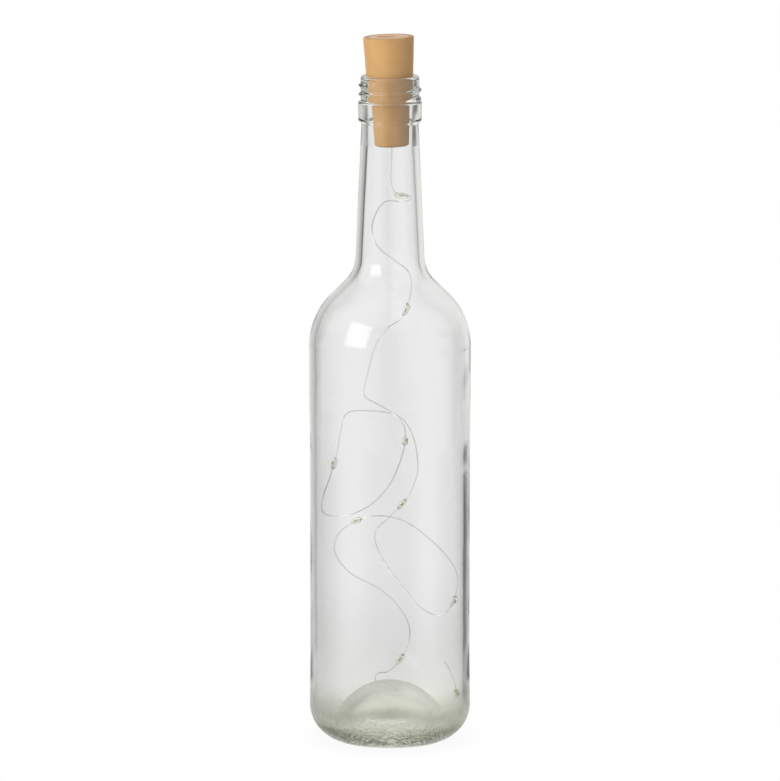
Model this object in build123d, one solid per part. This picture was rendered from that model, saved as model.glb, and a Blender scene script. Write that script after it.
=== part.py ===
from build123d import *
import os
from math import cos, pi, radians, sin, sqrt, tan

# Driving dimensions in millimetres and degrees.
# Z is up, and the origin is the centre of the ring that the bottle stands on.

# Glass bottle, body and base
BODY_RADIUS = 38.0
BODY_WALL = 3.2
LABEL_RECESS = 0.3
LABEL_RAMP = 4.0
LABEL_RAMP_ROUND = 40.0
LABEL_BOTTOM = 32.0
LABEL_TOP = 156.0
HEEL_RADIUS = 17.0
INNER_HEEL_RADIUS = 12.0
BEARING_INSET = 12.5
BEARING_WIDTH = 3.0
BEARING_ROUND = 0.8
PUNT_HEIGHT = 20.5
BASE_THICKNESS = 5.5
FLOOR_HEIGHT = 4.6
FLOOR_ROUND = 4.0

# Glass bottle, shoulder and neck
NECK_FOOT_HEIGHT = 223.5
NECK_FOOT_RADIUS = 16.5
NECK_TOP_RADIUS = 13.35
NECK_WALL = 3.0
SHOULDER_SLOPE = 45.0
SHOULDER_ROUND = 34.0
NECK_FOOT_ROUND = 15.5

# Glass bottle, screw finish
GLASS_HEIGHT = 315.5
FINISH_RADIUS = 13.7
THREAD_ZONE = 12.0
COLLAR_RADIUS = 14.9
COLLAR_HEIGHT = 8.9
COLLAR_SLOPE_HEIGHT = 1.5
COLLAR_ROUND = 0.8
LIP_ROUND = 1.1
THROAT_RADIUS = 10.5
THREAD_PITCH = 4.2
THREAD_TURNS = 2.0
THREAD_WIRE_RADIUS = 1.1
THREAD_STAND = 1.05
THREAD_FADE = 1.15
THREAD_TOP_MARGIN = 3.7
THREAD_START_ANGLE = 250.0

# Stopper shell: a cone in the mouth, with a narrower plug below it
STOPPER_TOP_RADIUS = 11.9
STOPPER_TAPER = 2.97
STOPPER_STAND = 18.3
STOPPER_CONE_DEPTH = 13.0
STOPPER_TOP_ROUND = 0.8
PLUG_RADIUS = 8.9
PLUG_TAPER = 2.4
PLUG_LENGTH = 20.0
PLUG_ROUND = 1.2
PLUG_FLOOR = 1.8
MOUTH_CLEARANCE = 0.4
STOPPER_LEAN = 1.8
LEAN_PIVOT_DEPTH = 4.0

# Battery cells and their pull-out carrier
CELL_RADIUS = 5.8
CELL_HEIGHT = 5.4
CELL_COUNT = 3
CELL_EDGE_ROUND = 0.4
CAP_RADIUS = 4.9
CAP_STAND = 0.4
SEAL_WIDTH = 0.4
SEAL_DEPTH = 1.2
CARRIER_WALL = 1.15
CARRIER_FLOOR = 1.3
CARRIER_HEAD_FLOOR = 1.4
CELL_CLEARANCE = 0.15
RUNNING_CLEARANCE = 0.15
FIT_CLEARANCE = 0.05

# Switch and lid
LID_RADIUS = 9.5
LID_THICKNESS = 2.4
LID_SINK = 0.1
LID_DISH_LENGTH = 11.0
LID_DISH_WIDTH = 6.0
LID_DISH_DEPTH = 1.2
LID_PEG_RADIUS = 0.7
LID_PEG_LENGTH = 2.0
LID_PEG_OFFSET = 5.2
NAIL_NOTCH_LENGTH = 4.0
NAIL_NOTCH_WIDTH = 1.2
NAIL_NOTCH_DEPTH = 1.0
SWITCH_LENGTH = 8.6
SWITCH_WIDTH = 4.4
SWITCH_HEIGHT = 3.6
SWITCH_WALL = 0.7
SWITCH_FLOOR = 1.0
SWITCH_COVER = 0.5
KNOB_LENGTH = 1.9
KNOB_WIDTH = 1.5
KNOB_HEIGHT = 0.9
KNOB_TRAVEL = 2.0
KNOB_GROOVE = 0.25
KNOB_GROOVES = 3

# Contacts, board and leads
SHEET_METAL = 0.3
STRIP_WIDTH = 2.0
STRIP_TAB = 2.1
STRIP_HEAD_DROP = 2.2
TOP_CONTACT_RADIUS = 4.6
BOARD_THICKNESS = 1.0
BOARD_LEDGE = 1.2
SPRING_SPACE = 4.5
SPRING_RADIUS = 2.6
SPRING_WIRE = 0.5
SPRING_TURNS = 4
CONTACT_GAP = 0.1
RESISTOR_LENGTH = 3.2
RESISTOR_WIDTH = 1.6
RESISTOR_HEIGHT = 0.6
RESISTOR_OFFSET = 3.0
FINGER_FOOT = 1.8
SOLDER_RADIUS = 1.0
SOLDER_HEIGHT = 0.9
SOLDER_GAP = 0.3
GLAND_RADIUS = 1.5
GLAND_FLANGE_RADIUS = 2.3
GLAND_FLANGE_HEIGHT = 1.0

# Light string
WIRE_DIAMETER = 0.65
BEND_SHARE = 0.45
LED_DISTANCES = [26.0, 120.0, 204.0, 305.0, 405.0, 490.0, 573.0, 671.0, 770.0]
BEAD_LENGTH = 6.4
BEAD_RADIUS = 1.5
BEAD_TIP_RADIUS = 0.5
CHIP_LENGTH = 1.6
CHIP_WIDTH = 0.8
CHIP_HEIGHT = 0.45
CHIP_GAP = 0.1

# The string's route below the plug, point by point as it hangs in the bottle
WIRE_ROUTE = [
    (0.5, -0.5, 273.5), (0.0, -1.5, 265.5), (2.5, -3.5, 259.5), (9.8, -3.2, 259.5), (10.0, 4.4, 256.0),
    (4.5, 8.5, 255.0), (-2.5, 7.5, 256.0), (-7.5, 3.0, 250.0), (-8.8, -3.5, 242.5), (-5.5, -6.5, 235.0),
    (2.0, -6.5, 229.5), (9.0, -2.5, 223.5), (10.6, 4.5, 215.5), (9.2, 7.6, 207.0), (5.5, 8.5, 198.5),
    (-2.0, 7.5, 195.0), (-6.5, 8.0, 187.5), (-9.5, 11.0, 178.0), (-11.5, 15.0, 168.5), (-13.5, 18.0, 160.5),
    (-6.0, 17.0, 157.0), (2.0, 14.5, 153.0), (7.5, 8.5, 148.5), (7.0, 1.0, 140.0), (4.5, -6.5, 132.5),
    (0.0, -13.5, 123.5), (-8.0, -19.5, 115.5), (-20.0, -21.0, 110.0), (-30.3, -13.0, 109.0), (-32.8, -1.0, 113.0),
    (-30.0, 11.0, 121.0), (-26.5, 18.0, 130.0), (-24.5, 22.0, 143.0), (-22.5, 24.0, 152.5), (-10.0, 26.5, 152.5),
    (5.0, 27.0, 150.5), (11.0, 25.5, 142.5), (13.5, 25.5, 130.5), (13.5, 26.5, 119.5), (8.0, 27.0, 108.5),
    (-1.5, 26.0, 99.5), (-8.5, 24.5, 93.5), (-6.0, 22.0, 85.0), (0.0, 17.0, 76.0), (7.5, 10.5, 68.0),
    (14.5, 5.0, 60.0), (25.0, 1.5, 56.5), (31.0, -1.0, 66.0), (32.5, -4.0, 78.0), (27.5, -11.0, 88.0),
    (18.5, -20.0, 99.5), (6.5, -26.0, 110.0), (-6.0, -27.0, 112.5), (-17.5, -23.5, 108.5), (-25.5, -16.0, 99.5),
    (-26.0, -9.0, 89.0), (-18.5, -3.5, 78.5), (-7.5, 0.5, 73.0), (2.0, 2.5, 65.0), (8.5, 2.0, 56.0),
    (10.0, 1.0, 47.0), (5.0, -1.0, 37.0), (-0.5, 2.5, 29.5), (-5.5, 9.5, 28.0), (-8.0, 17.5, 23.5),
    (-5.0, 24.5, 16.5), (4.0, 28.0, 10.5), (15.0, 26.0, 9.5), (24.5, 18.0, 9.5), (30.0, 6.5, 12.0),
    (31.5, -4.0, 19.0), (30.0, -9.5, 29.5), (25.5, -12.0, 38.5),
]

# Heights in the stopper's own frame, measured up from the rim of the glass
STOPPER_TOP = STOPPER_STAND
STEP_LEVEL = -STOPPER_CONE_DEPTH
PLUG_BOTTOM = STEP_LEVEL - PLUG_LENGTH
LID_TOP = STOPPER_TOP - LID_SINK
LID_SEAT = LID_TOP - LID_THICKNESS
SWITCH_SEAT = LID_SEAT - SWITCH_HEIGHT
BAY_TOP = SWITCH_SEAT - CARRIER_HEAD_FLOOR
STACK_TOP = BAY_TOP - SHEET_METAL
STACK_BOTTOM = STACK_TOP - CELL_COUNT * CELL_HEIGHT
CARRIER_BOTTOM = STACK_BOTTOM - CARRIER_FLOOR
BOARD_TOP = CARRIER_BOTTOM - SPRING_SPACE
BOARD_BOTTOM = BOARD_TOP - BOARD_THICKNESS

# Radii that follow from the fits
BEARING_RADIUS = BODY_RADIUS - BEARING_INSET
BAY_RADIUS = CELL_RADIUS + CELL_CLEARANCE
CARRIER_RADIUS = BAY_RADIUS + CARRIER_WALL
SHELL_BORE = CARRIER_RADIUS + RUNNING_CLEARANCE
BOARD_RADIUS = SHELL_BORE - RUNNING_CLEARANCE
CHAMBER_RADIUS = BOARD_RADIUS - BOARD_LEDGE
CONE_SLOPE = tan(radians(STOPPER_TAPER))
WIRE_RADIUS = WIRE_DIAMETER / 2

# The stopper sits slightly crooked in the mouth: everything in it leans about one point of the bottle's axis
LEAN_PIVOT = GLASS_HEIGHT - LEAN_PIVOT_DEPTH
SEAT = Location((0, 0, LEAN_PIVOT), (0, -STOPPER_LEAN, 0)) * Location((0, 0, LEAN_PIVOT_DEPTH))


def cone_radius(level):
    """Radius of the stopper's cone at a level above the rim."""
    return STOPPER_TOP_RADIUS - (STOPPER_TOP - level) * CONE_SLOPE


def spun(face):
    """Solid of revolution about Z of a flat face drawn as (radius, height)."""
    return revolve(Plane.XZ * face, Axis.Z)


def turned(*points):
    """Solid of revolution about Z of a polygon of (radius, height) points."""
    return spun(make_face(Polyline(*points, close=True)))


def disc(radius, bottom, top):
    """Upright cylinder about Z between two levels."""
    return Pos(0, 0, bottom) * Cylinder(radius, top - bottom, align=(Align.CENTER, Align.CENTER, Align.MIN))


def block(length, width, bottom, top, x=0.0, y=0.0):
    """Upright box between two levels, centred on x and y."""
    return Pos(x, y, bottom) * Box(length, width, top - bottom, align=(Align.CENTER, Align.CENTER, Align.MIN))


def bent_strip(points, width):
    """Bent sheet-metal strip: a polygon of (x, height) points, as wide as given across Y."""
    return extrude(Plane.XZ * make_face(Polyline(*points, close=True)), width / 2, both=True)


def arc_chain(stations):
    """Smooth chain of paired arcs through stations, each a point with its direction."""
    edges = []
    for (start, leaving), (end, arriving) in zip(stations, stations[1:]):
        chord = end - start
        square = 2 * (1 - leaving.dot(arriving))
        linear = 2 * chord.dot(leaving + arriving)
        reach = (sqrt(linear**2 + 4 * square * chord.dot(chord)) - linear) / (2 * square)
        first_corner = start + leaving * reach
        second_corner = end - arriving * reach
        joint = (first_corner + second_corner) * 0.5
        edges.append(TangentArc(start, joint, tangent=leaving))
        edges.append(TangentArc(joint, end, tangent=second_corner - first_corner))
    return edges


def least_gap_to_itself(path, wire_diameter, turn_length, steps=400):
    """Least clear distance between neighbouring turns of a wound wire, measured on points of its path."""
    points = [path.position_at(path.length * i / steps, PositionMode.LENGTH) for i in range(steps + 1)]
    apart = int(0.6 * turn_length / (path.length / steps))
    gaps = [
        (points[i] - points[j]).length - wire_diameter
        for i in range(len(points))
        for j in range(i + apart, len(points))
    ]
    return min(gaps)


def shoulder_height(radius, inset=0.0):
    """Height of the straight shoulder slope at a radius, moved into the glass by an inset."""
    slope = radians(SHOULDER_SLOPE)
    return NECK_FOOT_HEIGHT - (radius - NECK_FOOT_RADIUS) / tan(slope) - inset / sin(slope)


def punt_circle(cover=0.0):
    """Round of the punt, drawn about the axis, with a cover of glass added."""
    edge = BEARING_RADIUS - BEARING_WIDTH / 2
    centre = (PUNT_HEIGHT**2 - edge**2) / (2 * PUNT_HEIGHT)
    return Pos(0, centre) * Circle(PUNT_HEIGHT - centre + cover)


def bottle_outside():
    """Half section of the bottle's outer form, without its punt."""
    bearing_edge = BEARING_RADIUS + BEARING_WIDTH / 2
    heel_centre = BODY_RADIUS - HEEL_RADIUS
    heel_top = sqrt(HEEL_RADIUS**2 - (bearing_edge - heel_centre) ** 2)
    heel_turn = radians(45)
    heel_middle = (heel_centre + HEEL_RADIUS * cos(heel_turn), heel_top - HEEL_RADIUS * sin(heel_turn))
    panel_radius = BODY_RADIUS - LABEL_RECESS
    collar_top = GLASS_HEIGHT - THREAD_ZONE
    collar_bottom = collar_top - COLLAR_HEIGHT
    wall = FilletPolyline(
        (BODY_RADIUS, heel_top),
        (BODY_RADIUS, LABEL_BOTTOM),
        (panel_radius, LABEL_BOTTOM + LABEL_RAMP),
        (panel_radius, LABEL_TOP - LABEL_RAMP),
        (BODY_RADIUS, LABEL_TOP),
        (BODY_RADIUS, shoulder_height(BODY_RADIUS)),
        (NECK_FOOT_RADIUS, NECK_FOOT_HEIGHT),
        (NECK_TOP_RADIUS, collar_bottom - COLLAR_SLOPE_HEIGHT),
        (COLLAR_RADIUS, collar_bottom),
        (COLLAR_RADIUS, collar_top),
        (FINISH_RADIUS, collar_top),
        (FINISH_RADIUS, GLASS_HEIGHT),
        (0, GLASS_HEIGHT),
        radius=[
            LABEL_RAMP_ROUND,
            LABEL_RAMP_ROUND,
            LABEL_RAMP_ROUND,
            LABEL_RAMP_ROUND,
            SHOULDER_ROUND,
            NECK_FOOT_ROUND,
            COLLAR_ROUND,
            COLLAR_ROUND,
            COLLAR_ROUND,
            0,
            LIP_ROUND,
        ],
    )
    edges = [
        Line((0, GLASS_HEIGHT), (0, 0)),
        Line((0, 0), (bearing_edge, 0)),
        ThreePointArc((bearing_edge, 0), heel_middle, (BODY_RADIUS, heel_top)),
        *wall.edges(),
    ]
    return make_face(edges)


def bottle_inside():
    """Half section of the hollow inside the bottle, up to its mouth, without the dome of the punt."""
    inner_radius = BODY_RADIUS - BODY_WALL
    neck_radius = NECK_FOOT_RADIUS - NECK_WALL
    throat_bottom = GLASS_HEIGHT - STOPPER_CONE_DEPTH - PLUG_LENGTH
    mouth_radius = cone_radius(0) + MOUTH_CLEARANCE
    cone_end_radius = cone_radius(STEP_LEVEL) + MOUTH_CLEARANCE
    hollow = FilletPolyline(
        (0, FLOOR_HEIGHT),
        (inner_radius, FLOOR_HEIGHT),
        (inner_radius, shoulder_height(inner_radius, NECK_WALL)),
        (neck_radius, shoulder_height(neck_radius, NECK_WALL)),
        (THROAT_RADIUS, throat_bottom),
        (THROAT_RADIUS, GLASS_HEIGHT - THREAD_ZONE - COLLAR_HEIGHT),
        (cone_end_radius, GLASS_HEIGHT + STEP_LEVEL),
        (mouth_radius, GLASS_HEIGHT),
        (0, GLASS_HEIGHT),
        radius=[
            INNER_HEEL_RADIUS,
            SHOULDER_ROUND - NECK_WALL,
            NECK_FOOT_ROUND + NECK_WALL,
            NECK_FOOT_ROUND,
            0,
            0,
            0,
        ],
    )
    return make_face([*hollow.edges(), Line((0, GLASS_HEIGHT), (0, FLOOR_HEIGHT))])


def thread_ridge():
    """Rounded screw thread: a helix that dips into the glass at both ends."""
    stations = []
    steps = round(THREAD_TURNS * 4)
    stand_radius = FINISH_RADIUS + THREAD_STAND - THREAD_WIRE_RADIUS
    top = GLASS_HEIGHT - THREAD_TOP_MARGIN
    rise = THREAD_PITCH / (2 * pi)
    for step in range(steps + 1):
        angle = radians(THREAD_START_ANGLE) - step * pi / 2
        at_end = step in (0, steps)
        radius = stand_radius - THREAD_FADE if at_end else stand_radius
        point = Vector(radius * cos(angle), radius * sin(angle), top - rise * step * pi / 2)
        direction = Vector(radius * sin(angle), -radius * cos(angle), -rise).normalized()
        stations.append((point, direction))
    path = Wire(arc_chain(stations))
    section = Plane(origin=stations[0][0], z_dir=stations[0][1]) * Circle(THREAD_WIRE_RADIUS)
    return sweep(section, path=path)


def glass_bottle():
    """The blown bottle in one piece, with its punt, hollow and screw finish."""
    hollow = bottle_inside() - punt_circle(BASE_THICKNESS)
    trough = hollow.vertices().filter_by(lambda v: v.X > 1 and v.Y < NECK_FOOT_HEIGHT / 2).sort_by(Axis.Y)[0]
    hollow = fillet(trough, FLOOR_ROUND)
    section = bottle_outside() - punt_circle() - hollow
    bearing_edge = section.vertices().sort_by_distance((BEARING_RADIUS - BEARING_WIDTH / 2, 0))[0]
    lip_edge = section.vertices().sort_by_distance((cone_radius(0) + MOUTH_CLEARANCE, GLASS_HEIGHT))[0]
    section = fillet(bearing_edge, BEARING_ROUND)
    section = fillet(section.vertices().sort_by_distance(lip_edge.center())[0], LIP_ROUND)
    return spun(section) + thread_ridge()


def stopper_shell():
    """Tan moulded stopper, hollow from the top, with a ledge for the board and an exit hole."""
    plug_end = PLUG_RADIUS - PLUG_LENGTH * tan(radians(PLUG_TAPER))
    outside = FilletPolyline(
        (0, PLUG_BOTTOM),
        (plug_end, PLUG_BOTTOM),
        (PLUG_RADIUS, STEP_LEVEL),
        (cone_radius(STEP_LEVEL), STEP_LEVEL),
        (STOPPER_TOP_RADIUS, STOPPER_TOP),
        (0, STOPPER_TOP),
        radius=[PLUG_ROUND, 0, 0, STOPPER_TOP_ROUND],
    )
    shell = spun(make_face([*outside.edges(), Line((0, STOPPER_TOP), (0, PLUG_BOTTOM))]))
    lid_bore = LID_RADIUS + RUNNING_CLEARANCE
    ledge = LID_SEAT - FIT_CLEARANCE
    hollow = turned(
        (0, PLUG_BOTTOM + PLUG_FLOOR),
        (CHAMBER_RADIUS, PLUG_BOTTOM + PLUG_FLOOR),
        (CHAMBER_RADIUS, BOARD_BOTTOM),
        (SHELL_BORE, BOARD_BOTTOM),
        (SHELL_BORE, ledge),
        (lid_bore, ledge),
        (lid_bore, STOPPER_TOP),
        (0, STOPPER_TOP),
    )
    return shell - hollow - disc(GLAND_RADIUS, PLUG_BOTTOM, PLUG_BOTTOM + PLUG_FLOOR)


def wire_gland():
    """Soft bush in the exit hole, with a flange on the inside."""
    floor_top = PLUG_BOTTOM + PLUG_FLOOR
    bush = disc(GLAND_RADIUS, PLUG_BOTTOM, floor_top)
    flange = disc(GLAND_FLANGE_RADIUS, floor_top, floor_top + GLAND_FLANGE_HEIGHT)
    passage = disc(WIRE_RADIUS + FIT_CLEARANCE, PLUG_BOTTOM, floor_top + GLAND_FLANGE_HEIGHT)
    return bush + flange - passage


def inner_lead():
    """Stretch of the twin wire inside the plug, from the board down to the gland's outer face."""
    return disc(WIRE_RADIUS, PLUG_BOTTOM, BOARD_BOTTOM)


def solder_joints():
    """Two solder drops that fix the lead's two cores under the board, with a gap between them."""
    drop = turned(
        (WIRE_RADIUS, BOARD_BOTTOM),
        (SOLDER_RADIUS, BOARD_BOTTOM),
        (WIRE_RADIUS, BOARD_BOTTOM - SOLDER_HEIGHT),
    )
    return drop - block(2 * SOLDER_RADIUS, SOLDER_GAP, BOARD_BOTTOM - SOLDER_HEIGHT, BOARD_BOTTOM)


def contact_board():
    """Round circuit board on the shell's ledge."""
    return disc(BOARD_RADIUS, BOARD_BOTTOM, BOARD_TOP)


def series_resistor():
    """Chip resistor under the board, beside the lead."""
    return block(
        RESISTOR_WIDTH, RESISTOR_LENGTH, BOARD_BOTTOM - RESISTOR_HEIGHT, BOARD_BOTTOM, x=RESISTOR_OFFSET
    )


def contact_spring():
    """Coil spring from the board up to the lowest cell's cap, in one unbroken wire."""
    bottom = BOARD_TOP + SPRING_WIRE / 2 + FIT_CLEARANCE
    top = STACK_BOTTOM - SPRING_WIRE / 2 - CONTACT_GAP
    steps = SPRING_TURNS * 4
    slant = (top - bottom) / (SPRING_TURNS * 2 * pi)
    stations = []
    for step in range(steps + 1):
        angle = step * pi / 2
        point = Vector(SPRING_RADIUS * cos(angle), SPRING_RADIUS * sin(angle), bottom + slant * angle)
        direction = Vector(-SPRING_RADIUS * sin(angle), SPRING_RADIUS * cos(angle), slant).normalized()
        stations.append((point, direction))
    start, leaving = stations[0]
    end, arriving = stations[-1]
    lead_in = Line(start - leaving * SPRING_WIRE, start)
    lead_out = Line(end, end + arriving * SPRING_WIRE)
    path = Wire([lead_in, *arc_chain(stations), lead_out])
    gap = least_gap_to_itself(path, SPRING_WIRE, 2 * pi * SPRING_RADIUS)
    print(f"contact_spring: least gap to itself {gap:.2f} mm")
    section = Plane(origin=start - leaving * SPRING_WIRE, z_dir=leaving) * Circle(SPRING_WIRE / 2)
    return sweep(section, path=path)


def strip_outline(clearance=0.0):
    """Side strip with a tab into the switch and a tab under the carrier, grown by a clearance."""
    outer = CARRIER_RADIUS - FIT_CLEARANCE + clearance
    inner = CARRIER_RADIUS - FIT_CLEARANCE - SHEET_METAL - clearance
    head_top = LID_SEAT - STRIP_HEAD_DROP + clearance
    head_bottom = head_top - SHEET_METAL - 2 * clearance
    head_end = SWITCH_LENGTH / 2
    foot_top = CARRIER_BOTTOM + clearance
    foot_bottom = CARRIER_BOTTOM - SHEET_METAL - clearance
    foot_end = outer - STRIP_TAB - clearance
    points = [
        (head_end, head_top),
        (outer, head_top),
        (outer, foot_bottom),
        (foot_end, foot_bottom),
        (foot_end, foot_top),
        (inner, foot_top),
        (inner, head_bottom),
        (head_end, head_bottom),
    ]
    return bent_strip(points, STRIP_WIDTH + 2 * clearance)


def contact_finger():
    """Springy leaf on the board that presses up against the side strip's foot."""
    top = CARRIER_BOTTOM - SHEET_METAL - CONTACT_GAP
    outer = CARRIER_RADIUS - SHEET_METAL - FIT_CLEARANCE - CELL_CLEARANCE
    inner = outer - FINGER_FOOT
    points = [
        (inner, BOARD_TOP),
        (outer, BOARD_TOP),
        (outer, top),
        (inner, top),
        (inner, top - SHEET_METAL),
        (outer - SHEET_METAL, top - SHEET_METAL),
        (outer - SHEET_METAL, BOARD_TOP + SHEET_METAL),
        (inner, BOARD_TOP + SHEET_METAL),
    ]
    return bent_strip(points, STRIP_WIDTH)


def contact_tab(clearance=0.0):
    """Tab of the top contact, up through the carrier's head to the switch."""
    return block(
        SHEET_METAL + 2 * clearance,
        STRIP_WIDTH + 2 * clearance,
        BAY_TOP,
        SWITCH_SEAT,
        x=-SWITCH_LENGTH / 4,
    )


def top_contact():
    """Plate on the uppermost cell, with its tab to the switch."""
    return disc(TOP_CONTACT_RADIUS, STACK_TOP, BAY_TOP) + contact_tab()


def lid_peg(side, clearance=0.0):
    """One of the lid's two pegs, on the side +1 or -1 of the switch."""
    peg = disc(LID_PEG_RADIUS + clearance, LID_SEAT - LID_PEG_LENGTH - clearance, LID_SEAT)
    return Pos(0, side * LID_PEG_OFFSET, 0) * peg


def battery_carrier():
    """Cradle for the cells, open on one side, with a head that holds the switch."""
    body = disc(CARRIER_RADIUS, CARRIER_BOTTOM, LID_SEAT)
    bay = disc(BAY_RADIUS, STACK_BOTTOM, BAY_TOP)
    window = block(2 * BAY_RADIUS, CARRIER_RADIUS, STACK_BOTTOM, BAY_TOP, y=-CARRIER_RADIUS / 2)
    spring_hole = disc(CAP_RADIUS - SEAL_WIDTH, CARRIER_BOTTOM, STACK_BOTTOM)
    switch_pocket = block(
        SWITCH_LENGTH + 2 * FIT_CLEARANCE, SWITCH_WIDTH + 2 * FIT_CLEARANCE, SWITCH_SEAT, LID_SEAT
    )
    body = body - bay - window - spring_hole - switch_pocket
    body = body - strip_outline(FIT_CLEARANCE) - contact_tab(FIT_CLEARANCE)
    return body - lid_peg(1, FIT_CLEARANCE) - lid_peg(-1, FIT_CLEARANCE)


def switch_lid():
    """Round lid that closes the stopper's top, with a finger dish, a slot and two pegs."""
    lid = disc(LID_RADIUS, LID_SEAT, LID_TOP)
    dish = extrude(
        Pos(0, 0, LID_TOP - LID_DISH_DEPTH) * SlotOverall(LID_DISH_LENGTH, LID_DISH_WIDTH), LID_DISH_DEPTH
    )
    notch = block(
        NAIL_NOTCH_LENGTH,
        NAIL_NOTCH_WIDTH,
        LID_TOP - NAIL_NOTCH_DEPTH,
        LID_TOP,
        y=-(LID_RADIUS + LID_DISH_WIDTH / 2) / 2,
    )
    slot = block(
        KNOB_LENGTH + KNOB_TRAVEL + 2 * RUNNING_CLEARANCE, KNOB_WIDTH + 2 * RUNNING_CLEARANCE, LID_SEAT, LID_TOP
    )
    return lid - dish - notch - slot + lid_peg(1) + lid_peg(-1)


def switch_case():
    """Case of the slide switch, hollow, with a slot in its cover."""
    case = block(SWITCH_LENGTH, SWITCH_WIDTH, SWITCH_SEAT, LID_SEAT)
    hollow = block(
        SWITCH_LENGTH - 2 * SWITCH_WALL,
        SWITCH_WIDTH - 2 * SWITCH_WALL,
        SWITCH_SEAT + SWITCH_FLOOR,
        LID_SEAT - SWITCH_COVER,
    )
    slot = block(
        KNOB_LENGTH + KNOB_TRAVEL + 2 * RUNNING_CLEARANCE,
        KNOB_WIDTH + 2 * RUNNING_CLEARANCE,
        LID_SEAT - SWITCH_COVER,
        LID_SEAT,
    )
    return case - hollow - slot


def switch_knob():
    """Slider of the switch, at its off end: a shoe inside the case and a grooved stem through the lid."""
    x = -KNOB_TRAVEL / 2
    shoe_length = SWITCH_LENGTH - 2 * SWITCH_WALL - KNOB_TRAVEL - 2 * RUNNING_CLEARANCE
    shoe_width = SWITCH_WIDTH - 2 * SWITCH_WALL - 2 * RUNNING_CLEARANCE
    shoe_bottom = SWITCH_SEAT + SWITCH_FLOOR + RUNNING_CLEARANCE
    shoe_top = LID_SEAT - SWITCH_COVER - RUNNING_CLEARANCE
    stem_top = LID_TOP - LID_DISH_DEPTH + KNOB_HEIGHT
    knob = block(shoe_length, shoe_width, shoe_bottom, shoe_top, x=x)
    knob = knob + block(KNOB_LENGTH, KNOB_WIDTH, shoe_top, stem_top, x=x)
    for groove in range(KNOB_GROOVES):
        place = x + KNOB_LENGTH * ((groove + 0.5) / KNOB_GROOVES - 0.5)
        knob = knob - block(KNOB_GROOVE, KNOB_WIDTH, stem_top - KNOB_GROOVE, stem_top, x=place)
    return knob


def cell_can(bottom):
    """Plated steel can with its filling, closed side up."""
    can = disc(CELL_RADIUS, bottom + CAP_STAND, bottom + CELL_HEIGHT)
    can = fillet(can.edges().filter_by(GeomType.CIRCLE), CELL_EDGE_ROUND)
    return can - disc(CAP_RADIUS + SEAL_WIDTH, bottom + CAP_STAND, bottom + CAP_STAND + SEAL_DEPTH)


def cell_seal(bottom):
    """Plastic ring between the can and the cap."""
    outer = disc(CAP_RADIUS + SEAL_WIDTH, bottom + CAP_STAND, bottom + CAP_STAND + SEAL_DEPTH)
    return outer - disc(CAP_RADIUS, bottom + CAP_STAND, bottom + CAP_STAND + SEAL_DEPTH)


def cell_cap(bottom):
    """Cap of the cell, its lower pole."""
    cap = disc(CAP_RADIUS, bottom, bottom + CAP_STAND + SEAL_DEPTH)
    return fillet(cap.edges().filter_by(GeomType.CIRCLE).sort_by(Axis.Z)[0], CAP_STAND / 2)


def wire_path():
    """Route of the string: straight runs joined by arcs as large as the runs allow."""
    exit_point = (SEAT * Location((0, 0, PLUG_BOTTOM))).position
    points = [exit_point] + [Vector(*point) for point in WIRE_ROUTE]
    radii = []
    for before, corner, after in zip(points, points[1:], points[2:]):
        turn = radians((corner - before).get_angle(after - corner))
        shorter = min((corner - before).length, (after - corner).length)
        radii.append(BEND_SHARE * shorter / tan(turn / 2))
    print("light_wire radii:", " ".join(f"{radius:.1f}" for radius in radii))
    return FilletPolyline(*points, radius=radii)


def light_wire(path):
    """Thin twin wire, as one round tube along its route."""
    section = Plane(origin=path @ 0, z_dir=path % 0) * Circle(WIRE_RADIUS)
    wire = sweep(section, path=path)
    wanted = pi * WIRE_RADIUS**2 * path.length
    print(f"light_wire: length {path.length:.1f} mm, volume {wire.volume:.2f}, section x length {wanted:.2f}")
    return wire


def led_place(path, number):
    """Plane at one light's place on the wire, with Z along the wire."""
    distance = LED_DISTANCES[number]
    along = path.tangent_at(distance, PositionMode.LENGTH)
    return Plane(origin=path.position_at(distance, PositionMode.LENGTH), z_dir=along)


def led_chip():
    """Light chip across the wire, drawn at the origin with the wire along Z."""
    x = WIRE_RADIUS + CHIP_GAP + CHIP_HEIGHT / 2
    return Pos(x, 0, 0) * Box(CHIP_HEIGHT, CHIP_WIDTH, CHIP_LENGTH)


def led_drop():
    """Clear resin drop, drawn at the origin with the wire along Z, not yet cut for wire and chip."""
    tip = BEAD_LENGTH / 2
    edges = [
        ThreePointArc((BEAD_TIP_RADIUS, -tip), (BEAD_RADIUS, 0), (BEAD_TIP_RADIUS, tip)),
        Line((BEAD_TIP_RADIUS, tip), (0, tip)),
        Line((0, tip), (0, -tip)),
        Line((0, -tip), (BEAD_TIP_RADIUS, -tip)),
    ]
    return Rot(0, 0, 90) * spun(make_face(edges))


def save(name, shape):
    """Write one piece to its own file."""
    export_step(shape, f"parts/{name}.step")


os.makedirs("parts", exist_ok=True)

save("glass_bottle", glass_bottle())

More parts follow.
